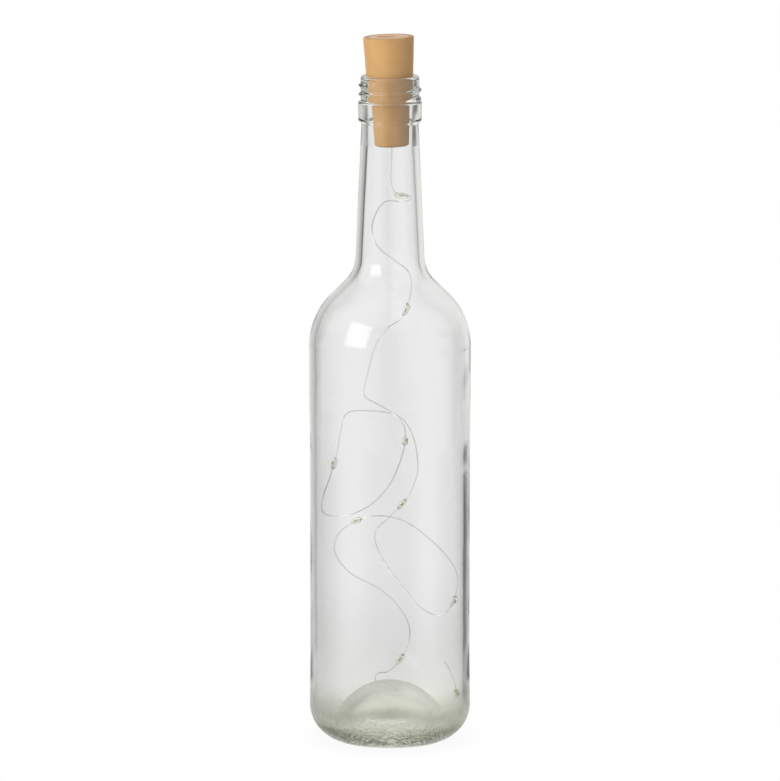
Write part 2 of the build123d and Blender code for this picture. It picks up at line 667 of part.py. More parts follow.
stopper_pieces = {
    "stopper_shell": stopper_shell(),
    "wire_gland": wire_gland(),
    "inner_lead": inner_lead(),
    "solder_joints": solder_joints(),
    "contact_board": contact_board(),
    "series_resistor": series_resistor(),
    "contact_spring": contact_spring(),
    "contact_finger": contact_finger(),
    "battery_carrier": battery_carrier(),
    "top_contact": top_contact(),
    "side_strip": strip_outline(),
    "switch_lid": switch_lid(),
    "switch_case": switch_case(),
    "switch_knob": switch_knob(),
}
for cell in range(CELL_COUNT):
    cell_bottom = STACK_TOP - (cell + 1) * CELL_HEIGHT
    stopper_pieces[f"cell_{cell + 1}_can"] = cell_can(cell_bottom)
    stopper_pieces[f"cell_{cell + 1}_seal"] = cell_seal(cell_bottom)
    stopper_pieces[f"cell_{cell + 1}_cap"] = cell_cap(cell_bottom)
for name, piece in stopper_pieces.items():
    save(name, SEAT * piece)

route = wire_path()
string = light_wire(route)
save("light_wire", string)
for number in range(len(LED_DISTANCES)):
    place = led_place(route, number)
    chip = place * led_chip()
    save(f"led_chip_{number + 1:02d}", chip)
    save(f"led_bead_{number + 1:02d}", place * led_drop() - string - chip)
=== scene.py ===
import bpy
import bmesh
import math
from mathutils import Matrix, Vector


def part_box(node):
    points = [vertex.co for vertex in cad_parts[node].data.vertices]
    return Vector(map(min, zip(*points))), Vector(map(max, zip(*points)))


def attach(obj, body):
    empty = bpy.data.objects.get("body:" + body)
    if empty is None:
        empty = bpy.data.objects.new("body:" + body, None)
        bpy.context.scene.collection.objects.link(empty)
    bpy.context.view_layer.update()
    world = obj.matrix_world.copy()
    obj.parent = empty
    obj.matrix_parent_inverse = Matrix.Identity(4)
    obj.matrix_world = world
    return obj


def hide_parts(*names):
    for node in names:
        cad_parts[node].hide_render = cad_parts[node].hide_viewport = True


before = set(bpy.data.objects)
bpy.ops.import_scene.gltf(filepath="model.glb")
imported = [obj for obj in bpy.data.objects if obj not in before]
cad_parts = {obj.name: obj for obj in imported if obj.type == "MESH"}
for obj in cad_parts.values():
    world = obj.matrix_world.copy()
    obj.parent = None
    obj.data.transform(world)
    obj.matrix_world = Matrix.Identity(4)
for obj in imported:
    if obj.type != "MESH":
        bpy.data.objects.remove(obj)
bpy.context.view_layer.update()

# Glass bottle
# One piece of clear flint glass, blown in a mould: punted base with a knurled ring, slightly recessed label
# panel, round shoulder, long tapering neck, collar and rolled screw thread. Sizes are in millimetres, and
# limits and depths of the finish in metres.
MM = 0.001
NEAR_AXIS = 1e-6
ARC_GUARD = 0.12
BOTTLE_COLUMNS = 360
BODY_R = 38.0
BODY_INNER_R = 34.8
PANEL_R = 37.7
PANEL_BOTTOM_Z = 43.0
PANEL_TOP_Z = 145.0
PANEL_FADE = 16.0
SHOULDER_Z = 202.0
NECK_FOOT = (16.5, 223.5)
NECK_TOP = (13.35, 293.1)
COLLAR_R = 14.9
COLLAR_BOTTOM_Z = 294.6
WALL_ROUNDS = [400, 400, 400, 400, 34, 15.5, 0.8, 0.8, 0.8]
INNER_SHOULDER_Z = 200.96
INNER_NECK_FOOT = (13.5, 222.26)
BORE_R = 10.5
BORE_BOTTOM_Z = 282.5
BORE_TOP = (10.675, 302.5)
INSIDE_ROUNDS = [8, 15.5, 18.5, 31]
HEEL_ROUND = 17.0
HEEL_CENTRE_Z = 15.906
BEARING_INNER_R = 24.0
BEARING_OUTER_R = 27.0
BEARING_SECTION = [(24.4, 0.12), (24.9, 0.0), (25.5, 0.0), (26.2, 0.0)]
PUNT_CENTRE_Z = -3.8
PUNT_R = 24.3
PUNT_LIP_DEG = 1.5
PUNT_INNER_R = 29.8
DOME_ARC_DEG = (30, 90)
INNER_HEEL_ROUND = 12.0
INNER_HEEL_CENTRE_Z = 16.6
INNER_HEEL_ARC_DEG = (-2, -29)
TROUGH_CENTRE = (29.638, 12.448)
TROUGH_ROUND = 4.0
TROUGH_ARC_DEG = (-31.3, -151.3)
RIM_Z = 315.5
RIM_R = 11.35
RIM_ROUND = 1.1
RIM_LIP_Z = RIM_Z - 1.2
FINISH_BOTTOM_Z = 303.5
FINISH_TOP_Z = RIM_Z - 1.3
FINISH_R = 13.7
FINISH_ROW = 0.3
FINISH_SLACK = 0.05
THREAD_STAND = 1.05
THREAD_HALF_WIDTH = 1.45
THREAD_PITCH = 4.2
THREAD_TURNS = 2.0
THREAD_TOP_Z = 311.8
THREAD_START = math.radians(250)
THREAD_FADE_TURNS = 0.2
KNURL_COUNT = 72
KNURL_DEPTH = 0.4
KNURL_TOP_Z = 0.9
KNURL_INNER_R = 24.2
KNURL_OUTER_R = 29.0
GLASS_IOR = 1.52
GLASS_TINT = (0.8, 0.83, 0.52)
GLASS_TINT_DENSITY = 20.0
DOME_TONE = (0.995, 0.995, 0.995)
DOME_EDGE = (33.0 * MM, 34.0 * MM)
RING_EDGE = (5.0 * MM, 6.5 * MM)
# Tint of the walls' skin by height in mm: a grey glass tint, with painted shade that makes it darker below 75
# mm and greenest at the foot.
WALL_SHADE_TOP = 75.0
WALL_TINT_AND_PAINTED_SHADE = [
    (0, (0.82, 0.84, 0.715)),
    (10, (0.89, 0.9, 0.825)),
    (18, (0.92, 0.92, 0.91)),
    (28, (0.885, 0.885, 0.895)),
    (45, (0.875, 0.875, 0.888)),
    (WALL_SHADE_TOP, (0.93, 0.93, 0.948)),
]
HEEL_FROST = 0.27
HEEL_FROST_FADE = (14.0 * MM, 30.0 * MM)
PUNT_FROST = 0.12
PUNT_FROST_FADE = ((PUNT_R + 1.5) * MM, (PUNT_R + 3.5) * MM)
DOME_GLOSS = 0.5
RING_GLOSS = 0.4
RING_GLOSS_FADE = (3.0 * MM, 9.0 * MM)
WAVE_SCALE = 55.0
WAVE_STRENGTH = 0.05
WAVE_DEPTH = 0.002
STIPPLE_SCALE = 360.0
STIPPLE_FADE = (4.0 * MM, 10.0 * MM)
STIPPLE_DEPTH = 0.0025
ETCH_SCALE = 900.0
ETCH_FOOT_FADE = (4.0 * MM, 9.0 * MM)
ETCH_TOP_FADE = (8.0 * MM, 20.0 * MM)
ETCH_DEPTH = 0.0008


def arc_points(centre, radius, start_deg, end_deg, steps):
    """Points on a circle in a (radius, height) section."""
    points = []
    for step in range(steps + 1):
        angle = math.radians(start_deg + (end_deg - start_deg) * step / steps)
        points.append((centre[0] + radius * math.cos(angle), centre[1] + radius * math.sin(angle)))
    return points


def rounded_line(corners, radii, steps=8):
    """A line through corners, each rounded to its radius, with a guard point where a run meets an arc."""
    points = [Vector(corners[0])]
    for before, corner, after, radius in zip(corners, corners[1:], corners[2:], radii):
        corner = Vector(corner)
        back = (Vector(before) - corner).normalized()
        ahead = (Vector(after) - corner).normalized()
        half = back.angle(ahead) / 2
        reach = radius / math.tan(half)
        centre = corner + (back + ahead).normalized() * (radius / math.sin(half))
        first = corner + back * reach - centre
        last = corner + ahead * reach - centre
        points.append(centre + first + back * ARC_GUARD)
        for step in range(steps + 1):
            points.append(centre + first.slerp(last, step / steps).normalized() * radius)
        points.append(centre + last + ahead * ARC_GUARD)
    points.append(Vector(corners[-1]))
    return [(point.x, point.y) for point in points]


def piece_from(name, form):
    """A piece in the scene, made from a finished form."""
    mesh = bpy.data.meshes.new(name)
    form.to_mesh(mesh)
    form.free()
    piece = bpy.data.objects.new(name, mesh)
    bpy.context.scene.collection.objects.link(piece)
    return piece


def lathe(name, section, columns, shape=None):
    """A turned piece from a (radius, height) section that ends on the axis or closes on itself."""
    form = bmesh.new()
    rings = []
    for radius, height in section:
        if radius < NEAR_AXIS:
            rings.append([form.verts.new((0, 0, height * MM))])
            continue
        ring = []
        for column in range(columns):
            angle = 2 * math.pi * column / columns
            r, z = (radius, height) if shape is None else shape(radius, height, angle)
            ring.append(form.verts.new((r * math.cos(angle) * MM, r * math.sin(angle) * MM, z * MM)))
        rings.append(ring)
    pairs = list(zip(rings, rings[1:]))
    if len(rings[0]) > 1:
        pairs.append((rings[-1], rings[0]))
    for low, high in pairs:
        for column in range(columns):
            following = (column + 1) % columns
            if len(low) == 1:
                form.faces.new((low[0], high[following], high[column]))
            elif len(high) == 1:
                form.faces.new((low[column], low[following], high[0]))
            else:
                form.faces.new((low[column], low[following], high[following], high[column]))
    bmesh.ops.recalc_face_normals(form, faces=form.faces)
    for face in form.faces:
        face.smooth = True
    return piece_from(name, form)


def bottle_section():
    """Half section of the bottle: up the outside from the punt, over the rim, and down the inside."""
    punt_edge = math.degrees(math.asin(BEARING_INNER_R / PUNT_R))
    heel_start = -math.degrees(math.acos((BEARING_OUTER_R - BODY_R + HEEL_ROUND) / HEEL_ROUND))
    punt = arc_points((0, PUNT_CENTRE_Z), PUNT_R, 90, 90 - punt_edge + PUNT_LIP_DEG, steps=24)
    punt[0] = (0, punt[0][1])
    heel = arc_points((BODY_R - HEEL_ROUND, HEEL_CENTRE_Z), HEEL_ROUND, heel_start, 0, steps=20)
    wall_corners = [
        (BODY_R, HEEL_CENTRE_Z),
        (BODY_R, PANEL_BOTTOM_Z - PANEL_FADE),
        (PANEL_R, PANEL_BOTTOM_Z),
        (PANEL_R, PANEL_TOP_Z),
        (BODY_R, PANEL_TOP_Z + PANEL_FADE),
        (BODY_R, SHOULDER_Z),
        NECK_FOOT,
        NECK_TOP,
        (COLLAR_R, COLLAR_BOTTOM_Z),
        (COLLAR_R, FINISH_BOTTOM_Z),
        (FINISH_R, FINISH_BOTTOM_Z),
    ]
    wall = rounded_line(wall_corners, WALL_ROUNDS, steps=12)
    finish = []
    height = FINISH_BOTTOM_Z + FINISH_ROW
    while height < FINISH_TOP_Z:
        finish.append((FINISH_R, height))
        height += FINISH_ROW
    mouth_corners = [(FINISH_R, RIM_LIP_Z), (FINISH_R, RIM_Z), (RIM_R, RIM_Z), BORE_TOP]
    mouth = rounded_line(mouth_corners, [RIM_ROUND, RIM_ROUND], steps=10)
    inside_corners = [
        BORE_TOP,
        (BORE_R, COLLAR_BOTTOM_Z),
        (BORE_R, BORE_BOTTOM_Z),
        INNER_NECK_FOOT,
        (BODY_INNER_R, INNER_SHOULDER_Z),
        (BODY_INNER_R, INNER_HEEL_CENTRE_Z),
    ]
    inside = rounded_line(inside_corners, INSIDE_ROUNDS, steps=14)
    heel_centre = (BODY_INNER_R - INNER_HEEL_ROUND, INNER_HEEL_CENTRE_Z)
    inner_heel = arc_points(heel_centre, INNER_HEEL_ROUND, *INNER_HEEL_ARC_DEG, steps=10)
    trough = arc_points(TROUGH_CENTRE, TROUGH_ROUND, *TROUGH_ARC_DEG, steps=16)
    dome = arc_points((0, PUNT_CENTRE_Z), PUNT_INNER_R, *DOME_ARC_DEG, steps=22)
    dome[-1] = (0, dome[-1][1])
    outside = punt + BEARING_SECTION + heel[:-1] + wall + finish + mouth[:-1]
    return outside + inside + inner_heel + trough + dome


def bottle_relief(radius, height, angle):
    """Moves a point of the plain bottle for the screw thread and for the knurl under the base."""
    if height > FINISH_BOTTOM_Z and radius > FINISH_R - FINISH_SLACK:
        stand = 0.0
        for lap in range(-2, 4):
            turns = (THREAD_START - angle) / (2 * math.pi) + lap
            if not 0 <= turns <= THREAD_TURNS:
                continue
            fading = min(1.0, turns / THREAD_FADE_TURNS, (THREAD_TURNS - turns) / THREAD_FADE_TURNS)
            away = abs(height - (THREAD_TOP_Z - THREAD_PITCH * turns)) / THREAD_HALF_WIDTH
            if away < 1:
                swell = 0.5 + 0.5 * math.cos(math.pi * away)
                stand = max(stand, THREAD_STAND * swell * (3 * fading**2 - 2 * fading**3))
        return radius + stand, height
    if height < KNURL_TOP_Z and KNURL_INNER_R < radius < KNURL_OUTER_R:
        edge = min(radius - KNURL_INNER_R, KNURL_OUTER_R - radius, 1.0)
        return radius, height + KNURL_DEPTH * edge * (0.5 + 0.5 * math.cos(KNURL_COUNT * angle))
    return radius, height


def new_finish(name):
    """A new material with its nodes, its links and its main shader."""
    material = bpy.data.materials.new(name)
    material.use_nodes = True
    nodes = material.node_tree.nodes
    return material, nodes, material.node_tree.links, nodes["Principled BSDF"]


def feed(links, socket, value):
    """Sets a socket to a number, or links it to another node's output."""
    if isinstance(value, bpy.types.NodeSocket):
        links.new(value, socket)
    else:
        socket.default_value = value


def fade(nodes, links, value, limits, low=0.0, high=1.0, smooth=True):
    """Turns from low to high while a value passes between two limits."""
    ramp = nodes.new("ShaderNodeMapRange")
    ramp.interpolation_type = "SMOOTHSTEP" if smooth else "LINEAR"
    ramp.inputs["From Min"].default_value = limits[0]
    ramp.inputs["From Max"].default_value = limits[1]
    feed(links, ramp.inputs["To Min"], low)
    feed(links, ramp.inputs["To Max"], high)
    links.new(value, ramp.inputs["Value"])
    return ramp.outputs["Result"]


def combine(nodes, links, operation, first, second):
    """One value from two, each a number or another node's output."""
    join = nodes.new("ShaderNodeMath")
    join.operation = operation
    feed(links, join.inputs[0], first)
    feed(links, join.inputs[1], second)
    return join.outputs[0]


def tone_ramp(nodes, links, value, stops):
    """Tones along a value from 0 to 1, from (place, colour) stops in rising order."""
    ramp = nodes.new("ShaderNodeValToRGB")
    marks = ramp.color_ramp.elements
    marks[0].position = stops[0][0]
    marks[1].position = stops[-1][0]
    for position, _ in stops[1:-1]:
        marks.new(position)
    for mark, (_, colour) in zip(marks, stops):
        mark.color = (*colour, 1)
    links.new(value, ramp.inputs["Fac"])
    return ramp.outputs["Color"]


def noise(nodes, links, place, scale, detail=2.0):
    """Cloudy noise that stays fixed to the piece."""
    clouds = nodes.new("ShaderNodeTexNoise")
    clouds.inputs["Scale"].default_value = scale
    clouds.inputs["Detail"].default_value = detail
    links.new(place, clouds.inputs["Vector"])
    return clouds.outputs["Fac"]


def bump(nodes, links, height, strength, depth, over=None):
    """A relief on the skin, laid over another one where there is one."""
    relief = nodes.new("ShaderNodeBump")
    feed(links, relief.inputs["Strength"], strength)
    relief.inputs["Distance"].default_value = depth
    links.new(height, relief.inputs["Height"])
    if over is not None:
        links.new(over, relief.inputs["Normal"])
    return relief.outputs["Normal"]


def glass_finish():
    """Clear flint glass: waves from the mould, a pitted, etched and frosted base, and a tint in its depth."""
    material, nodes, links, glass = new_finish("clear_flint_glass")
    glass.inputs["IOR"].default_value = GLASS_IOR
    glass.inputs["Transmission Weight"].default_value = 1.0
    place = nodes.new("ShaderNodeTexCoord").outputs["Object"]
    split = nodes.new("ShaderNodeSeparateXYZ")
    links.new(place, split.inputs["Vector"])
    height = split.outputs["Z"]
    reach = nodes.new("ShaderNodeVectorMath")
    reach.operation = "DISTANCE"
    reach.inputs[1].default_value = (0, 0, PUNT_CENTRE_Z * MM)
    links.new(place, reach.inputs[0])
    from_dome = reach.outputs["Value"]

    # Off the dome the skin takes the wall tint by height, which carries painted shade low on the bottle; the
    # dome stays clear.
    past_dome = fade(nodes, links, from_dome, DOME_EDGE, smooth=False)
    near_ring = fade(nodes, links, height, RING_EDGE, 1.0, 0.0, smooth=False)
    off_dome = combine(nodes, links, "MAXIMUM", past_dome, near_ring)
    up_wall_shade = fade(nodes, links, height, (0.0, WALL_SHADE_TOP * MM), smooth=False)
    wall_shade_stops = [(stop_z / WALL_SHADE_TOP, tone) for stop_z, tone in WALL_TINT_AND_PAINTED_SHADE]
    skin_tint_and_painted_shade = nodes.new("ShaderNodeMix")
    skin_tint_and_painted_shade.data_type = "RGBA"
    skin_tint_and_painted_shade.inputs["A"].default_value = (*DOME_TONE, 1)
    links.new(off_dome, skin_tint_and_painted_shade.inputs["Factor"])
    links.new(tone_ramp(nodes, links, up_wall_shade, wall_shade_stops), skin_tint_and_painted_shade.inputs["B"])
    links.new(skin_tint_and_painted_shade.outputs["Result"], glass.inputs["Base Color"])

    heel_frost = fade(nodes, links, height, HEEL_FROST_FADE, HEEL_FROST, 0.0)
    punt_frost = fade(nodes, links, from_dome, PUNT_FROST_FADE, PUNT_FROST, 0.0, smooth=False)
    frost = combine(nodes, links, "MAXIMUM", heel_frost, punt_frost)
    dome_gloss = fade(nodes, links, off_dome, (0.0, 1.0), DOME_GLOSS, smooth=False)
    ring_gloss = fade(nodes, links, height, RING_GLOSS_FADE, RING_GLOSS)
    dome_frost = combine(nodes, links, "MULTIPLY", frost, dome_gloss)
    links.new(combine(nodes, links, "MULTIPLY", dome_frost, ring_gloss), glass.inputs["Roughness"])

    waves = noise(nodes, links, place, WAVE_SCALE, detail=1.0)
    waved = bump(nodes, links, waves, WAVE_STRENGTH, WAVE_DEPTH)
    stipple_reach = fade(nodes, links, height, STIPPLE_FADE, 1.0, 0.0)
    stipple = combine(nodes, links, "MULTIPLY", noise(nodes, links, place, STIPPLE_SCALE), stipple_reach)
    pitted = bump(nodes, links, stipple, 1.0, STIPPLE_DEPTH, over=waved)
    etch = noise(nodes, links, place, ETCH_SCALE, detail=3.0)
    etch_top = fade(nodes, links, height, ETCH_TOP_FADE, 1.0, 0.0)
    etch_foot = fade(nodes, links, height, ETCH_FOOT_FADE)
    etch_reach = combine(nodes, links, "MINIMUM", etch_top, etch_foot)
    etch_strength = combine(nodes, links, "MULTIPLY", etch_reach, past_dome)
    etched = bump(nodes, links, etch, etch_strength, ETCH_DEPTH, over=pitted)
    links.new(etched, glass.inputs["Normal"])

    tint = nodes.new("ShaderNodeVolumeAbsorption")
    tint.inputs["Color"].default_value = (*GLASS_TINT, 1)
    tint.inputs["Density"].default_value = GLASS_TINT_DENSITY
    links.new(tint.outputs["Volume"], nodes["Material Output"].inputs["Volume"])
    return material


bottle = lathe("bottle", bottle_section(), BOTTLE_COLUMNS, shape=bottle_relief)
bottle.data.materials.append(glass_finish())
# Clear glass is left out of the lamps' shadows, so that their light reaches what is inside it.
bottle.visible_shadow = False
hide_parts("glass_bottle")
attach(bottle, "bottle")

# Stopper shell
# Tan plastic moulded in the shape of a cork: a cone that seats in the mouth and a narrower plug below it,
# hollow from the top for the battery cartridge. It sits slightly crooked, so all that it holds leans with it.
LEAN = math.radians(1.8)
PIVOT_Z = 311.5 * MM
PIVOT_DEPTH = 4.0 * MM
SEAT = (
    Matrix.Translation((0, 0, PIVOT_Z))
    @ Matrix.Rotation(-LEAN, 4, "Y")
    @ Matrix.Translation((0, 0, PIVOT_DEPTH))
)
STOPPER_COLUMNS = 128
STOPPER_TOP_Z = 18.3
CONE_TOP_R = 11.9
CONE_FOOT_R = 10.275
PLUG_TOP_Z = -13.0
PLUG_TOP_R = 8.9
PLUG_FOOT_Z = -33.0
PLUG_FOOT_R = 8.06
LID_RECESS_Z = 15.75
LID_RECESS_R = 9.65
CELL_BORE_R = 7.25
LEDGE_Z = -12.7
PLUG_BORE_R = 5.9
PLUG_FLOOR_Z = -31.2
WIRE_HOLE_R = 1.5
WIRE_HOLE_Z = -32.0
SHELL_ROUNDS = [0.15, 1.2, 0.2, 0.3, 0.8, 0.25, 0.1, 0.2, 0.1, 0.1, 0.3, 0.1]
STOPPER_TAN = (0.62, 0.355, 0.135)
STOPPER_TAN_DEEP = (0.575, 0.325, 0.12)
CLOUD_SHARE = 0.12


def moulded_finish(name, colour, deep_colour, roughness, grain_scale, grain_depth):
    """Moulded plastic: two close tones in soft clouds, and a fine grain from the mould."""
    material, nodes, links, plastic = new_finish(name)
    plastic.inputs["Roughness"].default_value = roughness
    place = nodes.new("ShaderNodeTexCoord").outputs["Object"]
    clouds = noise(nodes, links, place, grain_scale * CLOUD_SHARE, detail=4.0)
    tones = tone_ramp(nodes, links, clouds, [(0.35, deep_colour), (0.62, colour)])
    links.new(tones, plastic.inputs["Base Color"])
    grain = noise(nodes, links, place, grain_scale, detail=3.0)
    links.new(bump(nodes, links, grain, 0.25, grain_depth), plastic.inputs["Normal"])
    return material


shell_corners = [
    (WIRE_HOLE_R, WIRE_HOLE_Z),
    (WIRE_HOLE_R, PLUG_FOOT_Z),
    (PLUG_FOOT_R, PLUG_FOOT_Z),
    (PLUG_TOP_R, PLUG_TOP_Z),
    (CONE_FOOT_R, PLUG_TOP_Z),
    (CONE_TOP_R, STOPPER_TOP_Z),
    (LID_RECESS_R, STOPPER_TOP_Z),
    (LID_RECESS_R, LID_RECESS_Z),
    (CELL_BORE_R, LID_RECESS_Z),
    (CELL_BORE_R, LEDGE_Z),
    (PLUG_BORE_R, LEDGE_Z),
    (PLUG_BORE_R, PLUG_FLOOR_Z),
    (WIRE_HOLE_R, PLUG_FLOOR_Z),
    (WIRE_HOLE_R, WIRE_HOLE_Z),
]
shell = lathe("cork_stopper", rounded_line(shell_corners, SHELL_ROUNDS)[:-1], STOPPER_COLUMNS)
shell.data.transform(SEAT)
tan_plastic = moulded_finish(
    "tan_moulded_plastic",
    STOPPER_TAN,
    STOPPER_TAN_DEEP,
    roughness=0.5,
    grain_scale=900.0,
    grain_depth=0.00005,
)
shell.data.materials.append(tan_plastic)
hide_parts("stopper_shell")
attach(shell, "stopper")

# Wire gland
# Soft bush pressed into the hole under the plug, with a flange inside the stopper, so that the edge of the
# hole doesn't wear the wire.
GLAND_TAN = (0.36, 0.22, 0.11)
GLAND_TAN_DEEP = (0.3, 0.18, 0.085)


def paint(node, material):
    """Gives a piece that is kept from the construction its finish."""
    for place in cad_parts[node].material_slots:
        place.material = material


bush_rubber = moulded_finish(
    "tan_bush_rubber",
    GLAND_TAN,
    GLAND_TAN_DEEP,
    roughness=0.75,
    grain_scale=1500.0,
    grain_depth=0.00004,
)
paint("wire_gland", bush_rubber)

# Inner lead
# The upper end of the light string's wire, from the board down through the bush, where the string goes on.
WIRE_SILVER = (0.94, 0.94, 0.925)
WIRE_SILVER_DEEP = (0.87, 0.87, 0.855)


def plated_finish(name, colour, deep_colour, roughness, mottle_scale, metallic=1.0):
    """Plated or bare metal: bright, with a faint uneven tone and uneven gloss."""
    material, nodes, links, metal = new_finish(name)
    metal.inputs["Metallic"].default_value = metallic
    place = nodes.new("ShaderNodeTexCoord").outputs["Object"]
    mottle = noise(nodes, links, place, mottle_scale, detail=4.0)
    tones = tone_ramp(nodes, links, mottle, [(0.3, deep_colour), (0.7, colour)])
    gloss = fade(nodes, links, mottle, (0.0, 1.0), roughness * 0.8, roughness * 1.25, smooth=False)
    links.new(tones, metal.inputs["Base Color"])
    links.new(gloss, metal.inputs["Roughness"])
    return material


silver_wire = plated_finish(
    "silver_enamelled_wire",
    WIRE_SILVER,
    WIRE_SILVER_DEEP,
    roughness=0.14,
    mottle_scale=700.0,
    metallic=0.85,
)
paint("inner_lead", silver_wire)

# Solder joints
# Two drops of bright solder that fix the lead's two conductors to the underside of the board.
SOLDER_BRIGHT = (0.72, 0.72, 0.74)
SOLDER_DULL = (0.55, 0.55, 0.58)
solder = plated_finish("bright_solder", SOLDER_BRIGHT, SOLDER_DULL, roughness=0.28, mottle_scale=2500.0)
paint("solder_joints", solder)

# Contact board
# Round circuit board on a ledge inside the stopper: green lacquer over glass-fibre, with faint tracks
# under it.
BOARD_GREEN = (0.02, 0.13, 0.045)
TRACK_GREEN = (0.05, 0.24, 0.09)
TRACK_SCALE = 130.0
TRACK_WANDER = 1.5
TRACK_HEIGHT = 0.00004


def board_finish():
    """Glossy green lacquer with slightly raised, paler tracks."""
    material, nodes, links, lacquer = new_finish("green_circuit_board")
    lacquer.inputs["Roughness"].default_value = 0.35
    tracks = nodes.new("ShaderNodeTexWave")
    tracks.wave_type = "RINGS"
    tracks.inputs["Scale"].default_value = TRACK_SCALE
    tracks.inputs["Distortion"].default_value = TRACK_WANDER
    links.new(nodes.new("ShaderNodeTexCoord").outputs["Object"], tracks.inputs["Vector"])
    tones = tone_ramp(nodes, links, tracks.outputs["Fac"], [(0.72, BOARD_GREEN), (0.78, TRACK_GREEN)])
    links.new(tones, lacquer.inputs["Base Color"])
    links.new(bump(nodes, links, tones, 0.3, TRACK_HEIGHT), lacquer.inputs["Normal"])
    return material


paint("contact_board", board_finish())

# Series resistor
# Black chip resistor soldered flat under the board, which limits the current through the lights.
CHIP_BLACK = (0.012, 0.012, 0.014)
CHIP_BLACK_DEEP = (0.006, 0.006, 0.007)
chip_body = moulded_finish(
    "black_chip_body",
    CHIP_BLACK,
    CHIP_BLACK_DEEP,
    roughness=0.4,
    grain_scale=3000.0,
    grain_depth=0.00002,
)
paint("series_resistor", chip_body)

# Contact spring
# Coil of nickel-plated steel wire on the board, four turns, that presses up on the lowest cell's cap.
SPRING_R = 2.6
SPRING_WIRE_R = 0.25
SPRING_TURNS = 4
SPRING_BOTTOM = -11.2
SPRING_TOP = -6.05
SPRING_STEPS = 48
SPRING_SIDES = 16
SPRING_NICKEL = (0.78, 0.77, 0.73)
SPRING_NICKEL_DEEP = (0.66, 0.65, 0.61)


def spring_tube(name):
    """The spring's wire as a tube along a helix, with a short straight end at both ends."""
    stations = []
    slant = (SPRING_TOP - SPRING_BOTTOM) / (SPRING_TURNS * 2 * math.pi)
    for step in range(SPRING_TURNS * SPRING_STEPS + 1):
        angle = 2 * math.pi * step / SPRING_STEPS
        outward = Vector((math.cos(angle), math.sin(angle), 0))
        along = Vector((-SPRING_R * math.sin(angle), SPRING_R * math.cos(angle), slant)).normalized()
        centre = outward * SPRING_R + Vector((0, 0, SPRING_BOTTOM + slant * angle))
        stations.append((centre, outward, along))
    first_centre, first_outward, first_along = stations[0]
    last_centre, last_outward, last_along = stations[-1]
    stations.insert(0, (first_centre - first_along * 2 * SPRING_WIRE_R, first_outward, first_along))
    stations.append((last_centre + last_along * 2 * SPRING_WIRE_R, last_outward, last_along))
    form = bmesh.new()
    rings = []
    for centre, outward, along in stations:
        upward = along.cross(outward)
        ring = []
        for side in range(SPRING_SIDES):
            angle = 2 * math.pi * side / SPRING_SIDES
            point = centre + (outward * math.cos(angle) + upward * math.sin(angle)) * SPRING_WIRE_R
            ring.append(form.verts.new(point * MM))
        rings.append(ring)
    for low, high in zip(rings, rings[1:]):
        for side in range(SPRING_SIDES):
            following = (side + 1) % SPRING_SIDES
            face = form.faces.new((low[side], low[following], high[following], high[side]))
            face.smooth = True
    form.faces.new(rings[0])
    form.faces.new(rings[-1])
    bmesh.ops.recalc_face_normals(form, faces=form.faces)
    return piece_from(name, form)


spring = spring_tube("coil_spring")
spring.data.transform(SEAT)
spring_nickel = plated_finish(
    "nickel_spring_wire",
    SPRING_NICKEL,
    SPRING_NICKEL_DEEP,
    roughness=0.2,
    mottle_scale=900.0,
)
spring.data.materials.append(spring_nickel)
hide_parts("contact_spring")
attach(spring, "stopper")

# Contact finger
# Springy nickel-plated leaf, bent up from the board to touch the foot of the side strip.
STRIP_NICKEL = (0.76, 0.73, 0.66)
STRIP_NICKEL_DEEP = (0.66, 0.63, 0.56)
nickel_strip = plated_finish(
    "nickel_strip",
    STRIP_NICKEL,
    STRIP_NICKEL_DEEP,
    roughness=0.3,
    mottle_scale=800.0,
)
paint("contact_finger", nickel_strip)

# Battery carrier
# Off-white moulded cradle, open along one side, that holds the three cells and pulls out of the stopper by
# its lid.
CARRIER_WHITE = (0.78, 0.75, 0.67)
CARRIER_WHITE_DEEP = (0.72, 0.69, 0.61)
carrier_plastic = moulded_finish(
    "off_white_plastic",
    CARRIER_WHITE,
    CARRIER_WHITE_DEEP,
    roughness=0.45,
    grain_scale=1200.0,
    grain_depth=0.00004,
)
paint("battery_carrier", carrier_plastic)

# Cells
# Three alkaline button cells in series: a polished nickel-plated can, a dark seal ring pressed into its
# mouth, and the cap that the ring holds, facing down towards the spring.
CELL_STEEL = (0.76, 0.75, 0.73)
CELL_STEEL_DEEP = (0.7, 0.69, 0.67)
SEAL_DARK = (0.03, 0.06, 0.05)
SEAL_DARK_DEEP = (0.02, 0.045, 0.035)
cell_steel = plated_finish(
    "polished_cell_steel",
    CELL_STEEL,
    CELL_STEEL_DEEP,
    roughness=0.18,
    mottle_scale=500.0,
)
seal_plastic = moulded_finish(
    "dark_seal_ring",
    SEAL_DARK,
    SEAL_DARK_DEEP,
    roughness=0.5,
    grain_scale=2500.0,
    grain_depth=0.00002,
)
for number in (1, 2, 3):
    paint(f"cell_{number}_can", cell_steel)
    paint(f"cell_{number}_cap", cell_steel)
    paint(f"cell_{number}_seal", seal_plastic)

# Top contact
# Nickel-plated plate over the uppermost cell, with a tab up through the carrier's head into the switch.
paint("top_contact", nickel_strip)

# Side strip
# Nickel-plated strip from the switch down the outside of the carrier, bent under its foot to meet the
# finger.
paint("side_strip", nickel_strip)

# Switch case
# Folded plated case of the slide switch, held between the carrier's head and the lid.
CASE_PLATE = (0.6, 0.6, 0.6)
CASE_PLATE_DEEP = (0.52, 0.52, 0.53)
switch_plate = plated_finish(
    "folded_switch_plate",
    CASE_PLATE,
    CASE_PLATE_DEEP,
    roughness=0.35,
    mottle_scale=1000.0,
)
paint("switch_case", switch_plate)

